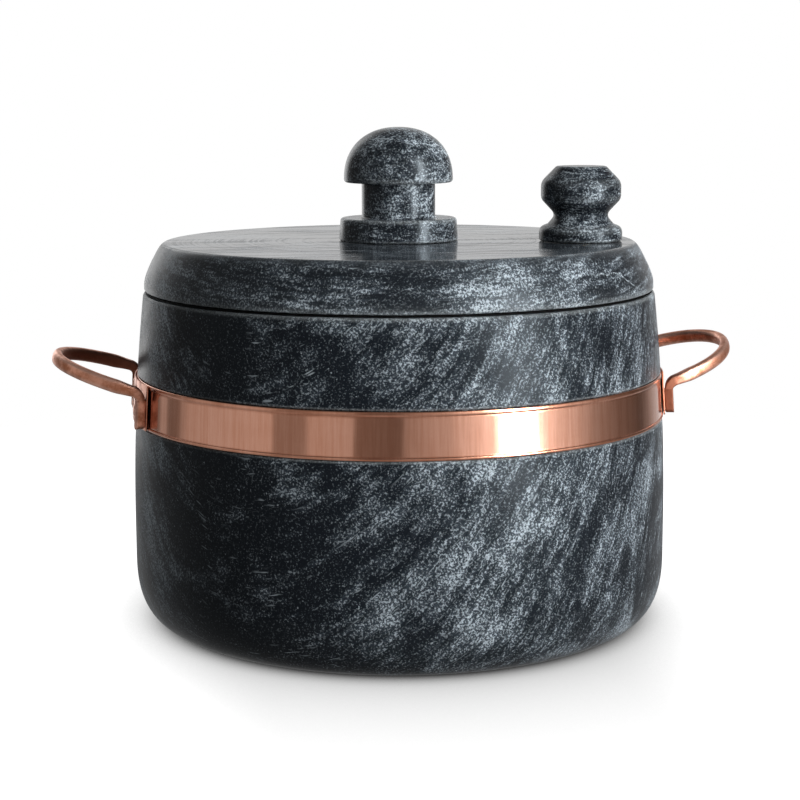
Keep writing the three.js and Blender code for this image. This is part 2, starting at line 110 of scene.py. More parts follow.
# Regulator weight
VENT = (81.88, -20.87)
WEIGHT_FOOT_RADIUS = 19.2
WEIGHT_FOOT_CHAMFER = 0.6
WEIGHT_FOOT_CORNER = (19.2, 6.2)
WEIGHT_FOOT_ROUND = 2.6
WEIGHT_SHOULDER = (15.3, 7.6)
WEIGHT_NECK = (11.6, 11.8)
WEIGHT_NECK_ROUND = 2.9
WEIGHT_BELLY = (18.45, 19.1)
WEIGHT_BELLY_ROUND = 1.9
WEIGHT_BROW = (18.45, 26.9)
WEIGHT_BROW_ROUND = 2.4
WEIGHT_TOP = (11.4, 34.1)
WEIGHT_TOP_ROUND = 0.7
WEIGHT_HOLLOW = (9.5, 9)
NEEDLE_SOCKET = (4.3, 12)
VENT_HOLE = 5.8
DRILL_MARGIN = 2

# Strap, saddles and rivets
STRAP_FOOT = 94.9
STRAP_TOP = 115.2
STRAP_THICKNESS = 0.8
STRAP_JOINT = 0.6
TOP_HEM = 2.1
BOTTOM_HEM = 1.5
HEM_PROUD = 0.5
RIPPLE_DEPTH = 0.03
RIPPLE_TURNS = 14
RIPPLE_RISE = 0.05
SADDLE_HALF_ANGLE = math.radians(16)
SADDLE_THICKNESS = 0.6
SADDLE_BEVEL = 0.2
RIVET_HEAD = (2.6, 0.6)
RIVET_FULLNESS = 2.2
RIVET_SHANK = 1.6
RIVET_ANGLE = math.radians(5)
RIVET_SPREAD = 9

# Handles
LEG_ANGLE = math.radians(14.9)
LEG_THICKNESS = 3.9
BAR_WIDTH = 4.5
BAR_HEIGHT = 6.2
BAR_ROOT_HEIGHT = 4.8
BAR_TAPER_SHARE = 0.08
BAR_FULLNESS = 2.5
LEG_FULLNESS = 7
ROOT_LEGNESS = 0.5
ROOT_REACH = 0.1
# Also painted shade: the outer, upper side of the bends, the loops' undersides and the legs' outer faces;
# LOOP_PATINA is the loop's own.
# Painted shade on the handles: the right leg darker than the left, and the loops' inner faces darker, the
# left's more.
LEG_PAINTED_SHADE = {"right": 1.1, "left": 0.3}
BEND_PAINTED_SHADE = 1.1
UNDERSIDE_PAINTED_SHADE = 0.45
LOOP_PATINA = 0.12
INNER_PAINTED_SHADE = {"right": 0.35, "left": 0.95}
HANDLE_PROJECTION = 34.8
HANDLE_ROOT = 114.1
HANDLE_TIP = 124.7
BEND_RADIUS = 4.6
LEG_LIFT = 0.8
LEG_FOOT_ROUND = 1.6
LEG_THIN = 0.75
SIDES = (("right", 0), ("left", math.pi))
HANDLE_LEANS = {"right": math.radians(5.5), "left": math.radians(-2.2)}

# Mesh fineness
TURN_STEPS = 256
FLOOR_STEPS = 96
DRILL_STEPS = 64
RIVET_STEPS = 48
STRAP_STEPS = 360
SADDLE_STEPS = 64
BAR_STEPS = 32
LOOP_STEPS = 96
BEND_STEPS = 18
LEG_STEPS = 8
LEG_FOOT_STEPS = 10
HEM_STEPS = 12
BEVEL_SEGMENTS = 3
SHARP = math.radians(38)
LONG_EDGE = 5
WEAR_REACH = 0.7
WEAR_TURN = math.radians(50)
WEAR_NEAR = 0.95 * WEAR_REACH
AXIS_RADIUS = 1e-6


# Camera

def make_camera():
    right = Vector((math.cos(CAMERA_HEADING), -math.sin(CAMERA_HEADING), 0))
    ahead = Vector((math.sin(CAMERA_HEADING), math.cos(CAMERA_HEADING), 0))
    up = ahead * math.sin(CAMERA_PITCH) + Vector((0, 0, math.cos(CAMERA_PITCH)))
    turn = Matrix.Rotation(CAMERA_ROLL, 3, right.cross(up))
    right, up = turn @ right, turn @ up
    place = Vector((
        -CAMERA_DISTANCE * math.sin(CAMERA_AZIMUTH),
        -CAMERA_DISTANCE * math.cos(CAMERA_AZIMUTH),
        CAMERA_HEIGHT,
    )) * MM
    camera = bpy.data.objects.new("camera", bpy.data.cameras.new("camera"))
    camera.data.lens = CAMERA_LENS
    camera.data.sensor_width = SENSOR_WIDTH
    camera.data.clip_start = 0.01
    axes = Matrix((right, up, right.cross(up))).transposed()
    camera.matrix_world = Matrix.Translation(place) @ axes.to_4x4()
    bpy.context.collection.objects.link(camera)
    bpy.context.scene.camera = camera


make_camera()


# Profiles: lists of (radius, height)

def arc(centre, radius, start, end, steps=8):
    points = []
    for step in range(steps + 1):
        angle = math.radians(start + (end - start) * step / steps)
        points.append((centre[0] + radius * math.cos(angle), centre[1] + radius * math.sin(angle)))
    return points


def bulge(inner, height, width, rise, fullness, steps=28):
    points = []
    for step in range(steps + 1):
        angle = step / steps * math.pi / 2
        out = math.sin(angle) ** (2 / fullness)
        along = max(0, math.cos(angle)) ** (2 / fullness)
        points.append((inner + width * out, height + rise * along))
    return points


def drawn(start, corner, end, steps=14):
    points = []
    for step in range(steps + 1):
        t = step / steps
        weights = ((1 - t) ** 2, 2 * t * (1 - t), t ** 2)
        points.append(tuple(
            sum(weight * point[axis] for weight, point in zip(weights, (start, corner, end)))
            for axis in (0, 1)
        ))
    return points


def rounded(before, corner, after, reach, steps=10):
    """A corner between two neighbours, rounded off over the same reach on both sides of it."""
    corner = Vector(corner)
    starts = [corner + (Vector(point) - corner).normalized() * reach for point in (before, after)]
    return drawn(starts[0], corner, starts[1], steps)


def evenly(start, end, steps, point_at):
    return [point_at(start + (end - start) * step / steps) for step in range(steps + 1)]


def eased(profile, closed):
    """The profile with its long edges divided, and a close guard point at both ends of each."""
    points = []
    count = len(profile) if closed else len(profile) - 1
    for index in range(count):
        here, there = Vector(profile[index]), Vector(profile[(index + 1) % len(profile)])
        length = (there - here).length
        points.append(tuple(here))
        if length < 3 * WEAR_REACH:
            continue
        inner = [WEAR_REACH]
        steps = max(1, round((length - 2 * WEAR_REACH) / LONG_EDGE))
        inner += [WEAR_REACH + (length - 2 * WEAR_REACH) * step / steps for step in range(1, steps + 1)]
        points += [tuple(here.lerp(there, distance / length)) for distance in inner]
    if not closed:
        points.append(tuple(profile[-1]))
    return points


def wear_along(points, closed):
    """How much each profile point lies on an outer edge: 1 on a sharp one, 0 away from edges."""
    count = len(points)
    turns = [0.0] * count
    for index in range(count):
        if not closed and index in (0, count - 1):
            continue
        before = Vector(points[index]) - Vector(points[index - 1])
        after = Vector(points[(index + 1) % count]) - Vector(points[index])
        if before.length and after.length:
            turns[index] = before.angle_signed(after)
    wears = []
    for index, point in enumerate(points):
        near = sum(
            turns[other] for other in range(count)
            if (Vector(points[other]) - Vector(point)).length < WEAR_NEAR
        )
        wears.append(max(0.0, min(1.0, -near / WEAR_TURN)))
    return wears


# Mesh builders

def new_mesh(name, points, faces):
    mesh = bpy.data.meshes.new(name)
    mesh.from_pydata([tuple(value * MM for value in point) for point in points], [], faces)
    tidy = bmesh.new()
    tidy.from_mesh(mesh)
    bmesh.ops.recalc_face_normals(tidy, faces=tidy.faces)
    tidy.to_mesh(mesh)
    tidy.free()
    mesh.shade_smooth()
    mesh.set_sharp_from_angle(angle=SHARP)
    return mesh


def placed(name, mesh, material, body, *nodes):
    """A new object for the mesh, riding on the body in place of the CAD nodes."""
    piece = bpy.data.objects.new(name, mesh)
    bpy.context.collection.objects.link(piece)
    mesh.materials.clear()
    mesh.materials.append(material)
    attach(piece, body)
    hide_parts(*nodes)


def turned(name, profile, centre=(0, 0), closed=False, steps=TURN_STEPS):
    """The profile turned round an upright axis, with an 'edge' value for the wear on its edges."""
    points = eased(profile, closed)
    wears = wear_along(points, closed)
    rings, vertices, edges = [], [], []
    for (radius, height), wear in zip(points, wears):
        ring = []
        for step in range(steps if radius > AXIS_RADIUS else 1):
            angle = 2 * math.pi * step / steps
            ring.append(len(vertices))
            vertices.append((
                centre[0] + radius * math.cos(angle),
                centre[1] + radius * math.sin(angle),
                height,
            ))
            edges.append(wear)
        rings.append(ring)
    pairs = list(zip(rings, rings[1:] + rings[:1])) if closed else list(zip(rings, rings[1:]))
    faces = []
    for low, high in pairs:
        if len(low) == 1 and len(high) == 1:
            continue
        for step in range(steps):
            after = (step + 1) % steps
            corners = [low[step % len(low)], low[after % len(low)]]
            corners += [high[after % len(high)], high[step % len(high)]]
            faces.append(list(dict.fromkeys(corners)))
    mesh = new_mesh(name, vertices, faces)
    wear = mesh.attributes.new("edge", "FLOAT", "POINT")
    wear.data.foreach_set("value", edges)
    return mesh


def swept_arc(name, profile, start, end, steps, ripple=None):
    """A closed profile swept round the Z axis from one angle to another, with flat ends."""
    vertices = []
    for step in range(steps + 1):
        angle = start + (end - start) * step / steps
        for radius, height in profile:
            reach = radius + (ripple(angle, height) if ripple else 0)
            vertices.append((reach * math.cos(angle), reach * math.sin(angle), height))
    count = len(profile)
    faces = [list(range(count)), list(range(steps * count, (steps + 1) * count))]
    for step in range(steps):
        for index in range(count):
            here, there = step * count + index, step * count + (index + 1) % count
            faces.append([here, there, there + count, here + count])
    return new_mesh(name, vertices, faces)


def bevelled(mesh, width):
    """The mesh with its sharp edges rounded."""
    shape = bmesh.new()
    shape.from_mesh(mesh)
    edges = [edge for edge in shape.edges if edge.is_manifold and edge.calc_face_angle(0) > SHARP]
    bmesh.ops.bevel(
        shape, geom=edges, offset=width * MM, segments=BEVEL_SEGMENTS, profile=0.5, affect="EDGES",
        clamp_overlap=True,
    )
    shape.to_mesh(mesh)
    shape.free()
    mesh.shade_smooth()
    mesh.set_sharp_from_angle(angle=SHARP)
    return mesh


def drilled(mesh, centre, radius, low, high):
    """The mesh with an upright hole through it."""
    drill = turned("drill", [(0, low), (radius, low), (radius, high), (0, high)], centre, steps=DRILL_STEPS)
    body = bpy.data.objects.new("body", mesh)
    tool = bpy.data.objects.new("tool", drill)
    bpy.context.collection.objects.link(body)
    bpy.context.collection.objects.link(tool)
    hole = body.modifiers.new("hole", "BOOLEAN")
    hole.operation = "DIFFERENCE"
    hole.object = tool
    result = bpy.data.meshes.new_from_object(body.evaluated_get(bpy.context.evaluated_depsgraph_get()))
    for scrap in (body, tool):
        bpy.data.objects.remove(scrap)
    result.name = mesh.name
    result.shade_smooth()
    result.set_sharp_from_angle(angle=SHARP)
    return result


# Material nodes

class Nodes:
    """A node tree under construction, with short calls for the nodes it uses."""

    def __init__(self, tree):
        self.tree = tree

    def feed(self, socket, value):
        if isinstance(value, bpy.types.NodeSocket):
            self.tree.links.new(value, socket)
        elif value is not None:
            socket.default_value = value

    def node(self, kind, *sources, **settings):
        """A new node with its settings, whose first sockets take the sources that aren't None."""
        made = self.tree.nodes.new("ShaderNode" + kind)
        for name, value in settings.items():
            setattr(made, name, value)
        for socket, source in zip(made.inputs, sources):
            self.feed(socket, source)
        return made

    def math(self, operation, first, second=0.0, third=0.0):
        return self.node("Math", first, second, third, operation=operation).outputs[0]

    def step(self, value, low, high, from_level=0.0, to_level=1.0):
        levels = (low, high, from_level, to_level)
        return self.node("MapRange", value, *levels, interpolation_type="SMOOTHSTEP").outputs[0]

    def weighted(self, base, *parts):
        """The base plus each part's value times its weight."""
        for value, weight in parts:
            base = self.math("MULTIPLY_ADD", value, weight, base)
        return base

    def blend(self, share, first, second):
        """A number between two others."""
        return self.node("Mix", share, None, first, second).outputs[0]

    def mix(self, share, first, second):
        """A colour between two others."""
        node = self.node("Mix", share, data_type="RGBA")
        self.feed(node.inputs[6], first)
        self.feed(node.inputs[7], second)
        return node.outputs[2]


class Finish(Nodes):
    """The nodes of a surface, laid out in the object's own coordinates."""

    def __init__(self, name, slot):
        self.material = bpy.data.materials.new(name)
        self.material["slot"] = slot
        self.material.use_nodes = True
        super().__init__(self.material.node_tree)
        self.shader = self.tree.nodes["Principled BSDF"]
        self.place = self.node("TexCoord").outputs["Object"]
        self.x, self.y, self.z = self.node("SeparateXYZ", self.place).outputs

    def vector(self, x, y, z):
        return self.node("CombineXYZ", x, y, z).outputs[0]

    def scaled(self, vector, periods, axes=None, shift=(0, 0, 0)):
        """The vector in periods (mm) along the given axes."""
        location = [value * MM for value in shift]
        rotation = axes.to_euler() if axes else (0, 0, 0)
        scale = [period * MM for period in periods]
        return self.node("Mapping", vector, location, rotation, scale, vector_type="TEXTURE").outputs[0]

    def in_periods(self, period, shift=(0, 0, 0)):
        """The place in periods (mm) of the same length along all axes."""
        return self.scaled(self.place, (period, period, period), shift=shift)

    def noise(self, vector, detail, roughness, distortion=0.0):
        node = self.node("TexNoise", vector)
        levels = {"Scale": 1, "Detail": detail, "Roughness": roughness, "Distortion": distortion}
        for name, value in levels.items():
            node.inputs[name].default_value = value
        return node.outputs[0]

    def bump(self, height, depth, below=None):
        """A bump of the given depth in mm for a height from 0 to 1."""
        node = self.node("Bump")
        levels = {"Strength": 1, "Distance": depth * MM, "Height": height, "Normal": below}
        for name, value in levels.items():
            self.feed(node.inputs[name], value)
        return node.outputs[0]

    def attribute(self, name):
        return self.node("Attribute", attribute_name=name).outputs["Fac"]

    def arc_length(self, radius):
        return self.math("MULTIPLY", self.math("ARCTAN2", self.y, self.x), radius * MM)

    def radial(self, period):
        """The distance from the upright axis, in periods of the given length in mm."""
        squares = [self.math("MULTIPLY", side, side) for side in (self.x, self.y)]
        return self.math("DIVIDE", self.math("SQRT", self.math("ADD", *squares)), period * MM)

    def done(self, **sockets):
        for name, value in sockets.items():
            self.feed(self.shader.inputs[name.replace("_", " ")], value)
        return self.material


def across(normal):
    """Axes with the first along the normal, as a rotation."""
    first = Vector(normal).normalized()
    second = first.cross(Vector((0, 0, 1))).normalized()
    return Matrix((first, second, first.cross(second))).transposed()


# Stone: near-black soapstone with pale talc flecks that gather in brushed streaks

NOISE_SPAN = (0.3, 0.7)
STONE_DARK = (0.0042, 0.0056, 0.0078, 1)
STONE_MID = (0.032, 0.040, 0.050, 1)
STONE_SHEEN = (0.8, 0.92, 1.0, 1)
STONE_PALE = (0.42, 0.48, 0.52, 1)
STONE_CHALK = (0.30, 0.33, 0.34, 1)
STONE_ROUGHNESS = (0.28, 0.36)
BED_NORMAL = (-1.262, -1.516, 1)
PATCH_PERIOD = 24
STREAK_WEIGHT = 0.5
CLOUD_WEIGHT = 0.6
PATCH_WEIGHT = 0.4
# Painted shade and light in the flecks: fewer toward -X, the side away from the key light, and more again at
# its far edge
SHADE_SIDE_REACH = (-110, 10)
LIMB_LIGHT_REACH = (-119, -95)
LIMB_LIGHT_SHARE = 1.5
HAZE_RANGE = (0.64, 0.92)
DENSE_RANGE = (0.58, 1.02)
FLECK_PERIOD = 0.9
GRAIN_PERIOD = 0.45
DENSE_WEIGHT = 0.17
GRAIN_WEIGHT = 0.10
DOT_RANGE = (0.60, 0.80)
DOT_LEVEL = 0.16
DENSE_DOT_LEVEL = 0.72
SPARK_PERIOD = 1.5
SPARK_RANGE = (0.75, 0.80)
SPARK_LEVEL = 0.45
DASH_PERIODS = (0.6, 9, 9)
DASH_RANGE = (0.66, 0.76)
DASH_CLOUDS = (0.42, 0.6)
FLECK_ROUGHNESS = 0.2
PIT_DEPTH = 0.03
MARK_PERIODS = (14, 14, 0.5)
MARK_DEPTH = 0.02
CHALK_RANGE = (0.3, 0.6)
CHALK_LEVELS = (0.2, 1.0)
CHALK_SHARE = 0.3
POLISH_REACH = (0.9, 0.1)
FADE_REACH = (3, 1)
FADE_LEVELS = (1, 0.35)
RING_PERIOD = 2.4
RING_TURNS = 2.0
RING_LEVEL = 0.55
RING_PITS = 1.5
SMEAR_PERIODS = (60, 9, 9)
SMEAR_WEIGHT = 1.1
DULL_RANGE = (0.3, 0.75)
SMOOTH_LEVELS = (0.84, 0.3)


def stone_gathering(stone, clouds, streaks, patches, side_shade):
    """Where talc gathers: fewer flecks toward -X as painted shade, and more again at the far end as painted
    light.
    """
    parts = ((streaks, STREAK_WEIGHT), (clouds, CLOUD_WEIGHT), (patches, PATCH_WEIGHT))
    gather = stone.weighted(0.0, *parts)
    for reach, level in ((SHADE_SIDE_REACH, -side_shade), (LIMB_LIGHT_REACH, LIMB_LIGHT_SHARE * side_shade)):
        start, end = reach
        gather = stone.math("ADD", gather, stone.step(stone.x, start * MM, end * MM, level, 0))
    return gather


def stone_flecks(stone, shift, axes, clouds, dense):
    """Fine talc flecks, thick where the stone is dense with them, with a few larger sparks and dashes."""
    flecks = stone.noise(stone.in_periods(FLECK_PERIOD, shift), 2, 0.62)
    grains = stone.noise(stone.in_periods(GRAIN_PERIOD, shift), 1, 0.5)
    dots = stone.step(stone.weighted(flecks, (dense, DENSE_WEIGHT), (grains, GRAIN_WEIGHT)), *DOT_RANGE)
    bright = stone.math("MULTIPLY", dots, stone.weighted(DOT_LEVEL, (dense, DENSE_DOT_LEVEL)))
    sparks = stone.noise(stone.in_periods(SPARK_PERIOD, (shift[1], shift[2], shift[0])), 1, 0.4)
    sparks = stone.step(sparks, *SPARK_RANGE)
    dashes = stone.noise(stone.scaled(stone.place, DASH_PERIODS, axes, shift), 1, 0.5)
    dashes = stone.math("MULTIPLY", stone.step(dashes, *DASH_RANGE), stone.step(clouds, *DASH_CLOUDS))
    sparks = stone.math("MULTIPLY", stone.math("MAXIMUM", sparks, dashes), SPARK_LEVEL)
    return flecks, grains, stone.math("MAXIMUM", bright, sparks)


def polished_below(stone, top, shift, bright, rough, pitted):
    """The flecks, roughness and pits, with a turned and polished face just below the top height."""
    start, end = POLISH_REACH
    polished = stone.step(stone.z, (top - start) * MM, (top - end) * MM)
    pitted = stone.math("MULTIPLY", pitted, stone.math("SUBTRACT", 1.0, polished))
    start, end = FADE_REACH
    fade = stone.step(stone.z, (top - start) * MM, (top - end) * MM, *FADE_LEVELS)
    along = stone.math("MULTIPLY", stone.arc_length(1), RING_TURNS)
    rings = stone.noise(stone.vector(stone.radial(RING_PERIOD), along, 0.0), 3, 0.6)
    smears = stone.noise(stone.scaled(stone.place, SMEAR_PERIODS, shift=shift), 3, 0.55)
    dulled = stone.weighted(stone.math("SUBTRACT", rings, RING_LEVEL), (smears, SMEAR_WEIGHT))
    smooth = stone.math("MULTIPLY", polished, stone.step(dulled, *DULL_RANGE, *SMOOTH_LEVELS))
    rough = stone.math("MULTIPLY", rough, stone.math("SUBTRACT", 1.0, smooth))
    pitted = stone.weighted(pitted, (stone.math("MULTIPLY", rings, polished), RING_PITS))
    return stone.math("MULTIPLY", bright, fade), rough, pitted


def soapstone(
    name, shift, bed=BED_NORMAL, streak=(1.9, 14, 14), cloud=(17, 44, 44),
    density=0.0, side_shade=0.0, polish=1.0, ior=1.18, top=None, vein=None,
):
    """Stone with beds across a normal, polished below a top height, with the veins that a function adds."""
    stone = Finish(name, "soapstone")
    axes = across(bed)
    clouds = stone.noise(stone.scaled(stone.place, cloud, axes, shift), 4, 0.6, 0.8)
    streaks = stone.noise(stone.scaled(stone.place, streak, axes, shift), 3, 0.62, 0.25)
    patches = stone.noise(stone.in_periods(PATCH_PERIOD, shift), 3, 0.55)
    gather = stone_gathering(stone, clouds, streaks, patches, side_shade)
    haze = stone.step(gather, *(level - density for level in HAZE_RANGE))
    dense = stone.step(gather, *(level - density for level in DENSE_RANGE))
    flecks, grains, bright = stone_flecks(stone, shift, axes, clouds, dense)
    if vein:
        bright = stone.math("MAXIMUM", bright, vein(stone))
    rough = stone.weighted(stone.step(patches, *NOISE_SPAN, *STONE_ROUGHNESS), (bright, FLECK_ROUGHNESS))
    rough = stone.math("MULTIPLY", rough, polish)
    pitted = stone.math("ADD", flecks, grains)
    if top:
        bright, rough, pitted = polished_below(stone, top, shift, bright, rough, pitted)
    chalk = stone.step(flecks, *CHALK_RANGE, *CHALK_LEVELS)
    chalk = stone.math("MULTIPLY", stone.attribute("edge"), chalk)
    colour = stone.mix(haze, STONE_DARK, STONE_MID)
    colour = stone.mix(bright, colour, STONE_PALE)
    colour = stone.mix(stone.math("MULTIPLY", chalk, CHALK_SHARE), colour, STONE_CHALK)
    marks = stone.noise(stone.scaled(stone.place, MARK_PERIODS, shift=shift), 2, 0.6)
    surface = stone.bump(marks, MARK_DEPTH, stone.bump(pitted, PIT_DEPTH))
    return stone.done(Base_Color=colour, Roughness=rough, Normal=surface, IOR=ior, Specular_Tint=STONE_SHEEN)


# Sheet copper: satin and rosy, with a grain across the strap, and stains with painted shade along its hems

COPPER_LIGHT = (0.78, 0.40, 0.28, 1)
COPPER_DEEP = (0.66, 0.30, 0.19, 1)
FORGED_LIGHT = (0.72, 0.35, 0.24, 1)
FORGED_DEEP = (0.42, 0.16, 0.085, 1)
SHEET_TONE = (14, 9, 1)
SHEET_TONE_WEIGHT = 0.25
SHEET_STREAKS = (1.6, 40, 1)
SHEET_STREAK_WEIGHT = 0.75
SHEET_STREAK_DEPTH = 0.006
SHEET_BRUSH = (16, 0.28, 1)
SHEET_BRUSH_DEPTH = 0.0012
SHEET_WAVES = (9, 60, 1)
SHEET_WAVE_DEPTH = 0.05
SHEET_RANGE = (0.3, 0.72)
SHEET_ROUGHNESS = 0.06
BRUSH_ROUGHNESS = 0.06
HEM_ROUGHNESS = 0.1
BOTTOM_HEM_BLEND = 0.7
TOP_HEM_BLEND = 1.1
STAIN_AND_SHADE_LEVELS = (0.2, 0.7)


def strap_copper():
    copper = Finish("strap_copper", "copper")
    sheet = copper.vector(copper.arc_length(POT_RADIUS), copper.z, 0.0)
    tone = copper.noise(copper.scaled(sheet, SHEET_TONE), 4, 0.6)
    brush = copper.noise(copper.scaled(sheet, SHEET_BRUSH), 2, 0.6)
    streaks = copper.noise(copper.scaled(sheet, SHEET_STREAKS), 3, 0.65)
    waves = copper.noise(copper.scaled(sheet, SHEET_WAVES), 1, 0.5)
    low, high = STRAP_FOOT + BOTTOM_HEM, STRAP_TOP - TOP_HEM
    bottom = copper.step(copper.z, low * MM, (low + BOTTOM_HEM_BLEND) * MM, 1, 0)
    top = copper.step(copper.z, (high - TOP_HEM_BLEND) * MM, high * MM)
    hems = copper.math("MAXIMUM", bottom, top)
    grain = copper.weighted(0.0, (tone, SHEET_TONE_WEIGHT), (streaks, SHEET_STREAK_WEIGHT))
    colour = copper.mix(copper.step(grain, *SHEET_RANGE), COPPER_LIGHT, COPPER_DEEP)
    # Stains and painted shade: the hems and the creases beside them darker, more so where the tone is high
    stain_and_shade = copper.math("MULTIPLY", hems, copper.step(tone, *NOISE_SPAN, *STAIN_AND_SHADE_LEVELS))
    colour = copper.mix(stain_and_shade, colour, FORGED_DEEP)
    rough = copper.weighted(SHEET_ROUGHNESS, (hems, HEM_ROUGHNESS), (brush, BRUSH_ROUGHNESS))
    surface = copper.bump(waves, SHEET_WAVE_DEPTH)
    surface = copper.bump(streaks, SHEET_STREAK_DEPTH, surface)
    surface = copper.bump(brush, SHEET_BRUSH_DEPTH, surface)
    return copper.done(
        Base_Color=colour, Roughness=rough, Normal=surface, Metallic=1.0, Coat_Weight=0.35, Coat_Roughness=0.3
    )


# Forged copper: brown where its value of patina and painted shade is high, and rubbed bright along its edges

BROWN_PATINA_AND_SHADE = (0.20, 0.075, 0.045, 1)
COPPER_RUB = (0.86, 0.58, 0.48, 1)
FORGED_TONE = 6
FORGED_RANGE = (0.35, 0.65)
FORGED_ROUGHNESS = (0.24, 0.34)
DINT_PERIOD = 2.6
DINT_DEPTH = 0.03
FINE_PERIOD = 0.35
FINE_DEPTH = 0.004
FINE_ROUGHNESS = 0.14
RUB_SHARE = 0.45
BROWN_WEIGHT = 0.8
BROWN_OFFSET = 0.45
BROWN_RANGE = (0.1, 0.75)
BROWN_LEVELS = (0, 0.92)
PATINA_ROUGHNESS = 0.3


def bar_copper(name, shift):
    copper = Finish(name, "copper")
    tone = copper.noise(copper.in_periods(FORGED_TONE, shift), 5, 0.68)
    dints = copper.noise(copper.in_periods(DINT_PERIOD, shift), 2, 0.5)
    fine = copper.noise(copper.in_periods(FINE_PERIOD, shift), 2, 0.6)
    patina_and_shade = copper.attribute("patina_and_shade")
    rubbed = copper.math("MULTIPLY", copper.attribute("edge"), RUB_SHARE)
    colour = copper.mix(copper.step(tone, *FORGED_RANGE), FORGED_LIGHT, FORGED_DEEP)
    colour = copper.mix(rubbed, colour, COPPER_RUB)
    # Brown patina and painted shade, where the handles' patina value and the tone are high
    brown = copper.weighted(copper.math("SUBTRACT", patina_and_shade, BROWN_OFFSET), (tone, BROWN_WEIGHT))
    colour = copper.mix(copper.step(brown, *BROWN_RANGE, *BROWN_LEVELS), colour, BROWN_PATINA_AND_SHADE)
    rough = copper.step(tone, *NOISE_SPAN, *FORGED_ROUGHNESS)
    rough = copper.weighted(rough, (fine, FINE_ROUGHNESS), (patina_and_shade, PATINA_ROUGHNESS))
    surface = copper.bump(fine, FINE_DEPTH, copper.bump(dints, DINT_DEPTH))
    return copper.done(Base_Color=colour, Roughness=rough, Normal=surface, Metallic=1.0)


# Fittings: turned brass and steel, and silicone rubber

BRASS_LIGHT = (0.62, 0.45, 0.19, 1)
BRASS_DEEP = (0.48, 0.32, 0.12, 1)
STEEL_LIGHT = (0.55, 0.56, 0.57, 1)
STEEL_DEEP = (0.42, 0.43, 0.44, 1)
FITTING_TONE = 6
FITTING_RANGE = (0.35, 0.7)
FITTING_MARKS = (5, 5, 0.2)
FITTING_MARK_DEPTH = 0.01
FITTING_ROUGHNESS = 0.24
FITTING_MARK_ROUGHNESS = 0.15
RUBBER_BLACK = (0.002, 0.002, 0.002, 1)
RUBBER_DUSTY = (0.01, 0.01, 0.011, 1)
RUBBER_GRAIN = 0.5
RUBBER_GRAIN_DEPTH = 0.02
RUBBER_ROUGHNESS = (0.55, 0.75)
DUST_PERIODS = (8, 8, 3)
DUST_RANGE = (0.5, 0.8)


def plain_metal(name, slot, light, deep):
    metal = Finish(name, slot)
    tone = metal.noise(metal.in_periods(FITTING_TONE), 4, 0.6)
    marks = metal.noise(metal.scaled(metal.place, FITTING_MARKS), 2, 0.6)
    colour = metal.mix(metal.step(tone, *FITTING_RANGE), light, deep)
    rough = metal.weighted(FITTING_ROUGHNESS, (marks, FITTING_MARK_ROUGHNESS))
    surface = metal.bump(marks, FITTING_MARK_DEPTH)
    return metal.done(Base_Color=colour, Roughness=rough, Normal=surface, Metallic=1.0)


def rubber(name):
    sheet = Finish(name, "silicone")
    grain = sheet.noise(sheet.in_periods(RUBBER_GRAIN), 2, 0.6)
    dust = sheet.noise(sheet.scaled(sheet.place, DUST_PERIODS), 4, 0.65)
    colour = sheet.mix(sheet.step(dust, *DUST_RANGE), RUBBER_BLACK, RUBBER_DUSTY)
    rough = sheet.step(dust, *NOISE_SPAN, *RUBBER_ROUGHNESS)
    return sheet.done(
        Base_Color=colour, Roughness=rough, Normal=sheet.bump(grain, RUBBER_GRAIN_DEPTH), IOR=1.12
    )


# Pot

def side_radius(height):
    share = max(0, (height - POT_WIDEST) / (RIM_HEIGHT - POT_WIDEST))
    return POT_RADIUS - (POT_RADIUS - RIM_RADIUS) * share ** 2


def seat_radius(height):
    share = (height - STRAP_FOOT) / (STRAP_TOP - STRAP_FOOT)
    return side_radius(STRAP_FOOT) + (side_radius(STRAP_TOP) - side_radius(STRAP_FOOT)) * share - SEAT_DEPTH


def side_point(height):
    return side_radius(height), height


def wall_point(height):
    return side_radius(height) - POT_WALL, height


def pot_profile():
    low, high = STRAP_FOOT - SEAT_GAP, STRAP_TOP + SEAT_GAP
    corner = POT_FLOOR + INSIDE_CORNER
    mouth = RIM_RADIUS - POT_WALL
    inner = POT_RADIUS - POT_WALL
    return [
        (0, FOOT_RING_RISE),
        (FOOT_RING_RADIUS, FOOT_RING_RISE),
        (FOOT_RING_RADIUS + FOOT_RING_SLOPE, 0),
        *bulge(POT_RADIUS - FOOT_CORNER[0], FOOT_CORNER[1], FOOT_CORNER[0], -FOOT_CORNER[1], FOOT_FULLNESS),
        *evenly(POT_WIDEST, low - SEAT_EDGE, 10, side_point),
        (side_radius(low) - SEAT_EDGE, low),
        (seat_radius(low), low),
        (seat_radius(high), high),
        (side_radius(high) - SEAT_EDGE, high),
        *evenly(high + SEAT_EDGE, RIM_HEIGHT - RIM_ROUND, 8, side_point),
        *arc((RIM_RADIUS - RIM_ROUND, RIM_HEIGHT - RIM_ROUND), RIM_ROUND, RIM_ROUND_START, 90, 5),
        *arc((mouth + RIM_ROUND, RIM_HEIGHT - RIM_ROUND), RIM_ROUND, 90, 180, 5),
        *evenly(RIM_HEIGHT - MOUTH_DEPTH, corner, 10, wall_point),
        *arc((inner - INSIDE_CORNER, corner), INSIDE_CORNER, INSIDE_CORNER_START, -90, 14),
        (0, POT_FLOOR),
    ]


pot_stone = soapstone("pot_stone", (208, -882, -120), density=-0.02, side_shade=0.1)
placed("pot", turned("pot", pot_profile()), pot_stone, "pot", "pot_body")


# Lid, gasket and knob

